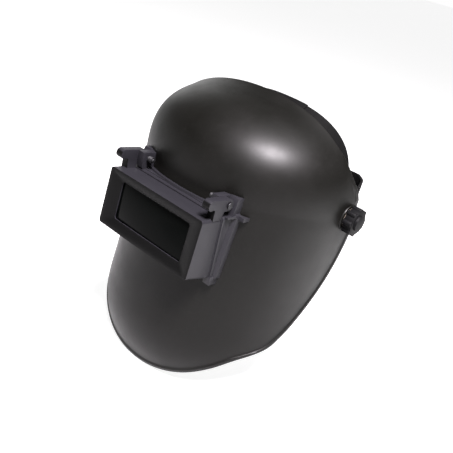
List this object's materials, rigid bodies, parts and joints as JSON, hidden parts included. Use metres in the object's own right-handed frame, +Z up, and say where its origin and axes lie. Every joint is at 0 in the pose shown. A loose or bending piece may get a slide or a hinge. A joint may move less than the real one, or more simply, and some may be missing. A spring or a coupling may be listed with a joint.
{
  "type": "welding helmet",
  "caption": "Black moulded welding helmet with a lift-front dark window, ear pivots with hand knobs and a ratchet headband with a crown strap.",
  "frame": {"origin": "midway between the two ear pivots, inside the headband", "axes": "+X to the wearer's left, +Y backwards, +Z up, the window facing -Y"},
  "size_m": [0.282, 0.3011, 0.3058],
  "materials": {
    "shell_black": "satin moulded thermoplastic",
    "frame_grey": "fine-textured moulded nylon",
    "strap_black": "ribbed flexible polyethylene",
    "knob_black": "moulded nylon",
    "clear_plate": "clear",
    "shade_glass": "very dark green, polished",
    "gasket_rubber": "matt",
    "steel": "zinc plated",
    "spring_steel": "blackened",
    "brass_insert": "plain",
    "washer_fibre": "plain fibre",
    "brow_pad": "padded cloth"
  },
  "bodies": {
    "headgear": {"front_headband": "strap_black", "sweatband": "brow_pad", "strap_peg_caps": "knob_black", "nape_pad": "brow_pad", "ratchet_back_plate": "knob_black", "ratchet_cover": "knob_black", "housing_screws": "steel", "crown_strap_left": "strap_black", "crown_strap_right": "strap_black", "side_arm_left": "strap_black", "side_arm_right": "strap_black", "arm_rivets": "spring_steel", "pivot_bolts": "steel", "stop_plates": "knob_black", "inner_washers": "washer_fibre", "outer_washers": "washer_fibre"},
    "mask": {"shell": "shell_black", "lens_base_frame": "frame_grey", "inner_retaining_frame": "strap_black", "frame_screws": "steel", "safety_lens": "clear_plate", "safety_lens_clips": "spring_steel", "hinge_pins": "spring_steel", "hinge_springs": "spring_steel"},
    "window": {"lift_front": "frame_grey", "cover_lens": "clear_plate", "lens_gasket": "gasket_rubber", "shade_filter": "shade_glass", "lens_retaining_spring": "spring_steel"},
    "ratchet": {"ratchet_knob": "knob_black", "ratchet_pinion": "knob_black"},
    "left_strap": {"rear_strap_left": "strap_black"},
    "right_strap": {"rear_strap_right": "strap_black"},
    "left_knob": {"tension_knob_left": "knob_black", "knob_nut_left": "brass_insert"},
    "right_knob": {"tension_knob_right": "knob_black", "knob_nut_right": "brass_insert"}
  },
  "joints": [
    {"name": "mask_lift", "type": "hinge", "parent": "headgear", "child": "mask", "pos_m": [0, 0, 0], "axis": [-1, 0, 0], "range_deg": [0, 75]},
    {"name": "window_lift", "type": "hinge", "parent": "mask", "child": "window", "pos_m": [0, -0.12269, 0.00282], "axis": [-1, 0, 0], "range_deg": [0, 100]},
    {"name": "ratchet_turn", "type": "hinge", "parent": "headgear", "child": "ratchet", "pos_m": [0, 0.12955, -0.00508], "axis": [0, 0.9903, -0.1392], "range_deg": [-140, 140]},
    {"name": "left_strap_travel", "type": "hinge", "parent": "headgear", "child": "left_strap", "pos_m": [0, 0.04538, 0.00675], "axis": [0, 0.1392, 0.9903], "range_deg": [-8, 8]},
    {"name": "right_strap_travel", "type": "hinge", "parent": "headgear", "child": "right_strap", "pos_m": [0, 0.04538, 0.00675], "axis": [0, 0.1392, 0.9903], "range_deg": [-8, 8]},
    {"name": "left_knob_turn", "type": "hinge", "parent": "headgear", "child": "left_knob", "pos_m": [0.134, 0, 0], "axis": [1, 0, 0], "range_deg": [-180, 180]},
    {"name": "right_knob_turn", "type": "hinge", "parent": "headgear", "child": "right_knob", "pos_m": [-0.134, 0, 0], "axis": [-1, 0, 0], "range_deg": [-180, 180]}
  ],
  "couplings": [
    {"joint": "left_strap_travel", "follows": "ratchet_turn", "ratio": -0.056962},
    {"joint": "right_strap_travel", "follows": "ratchet_turn", "ratio": 0.055624}
  ]
}
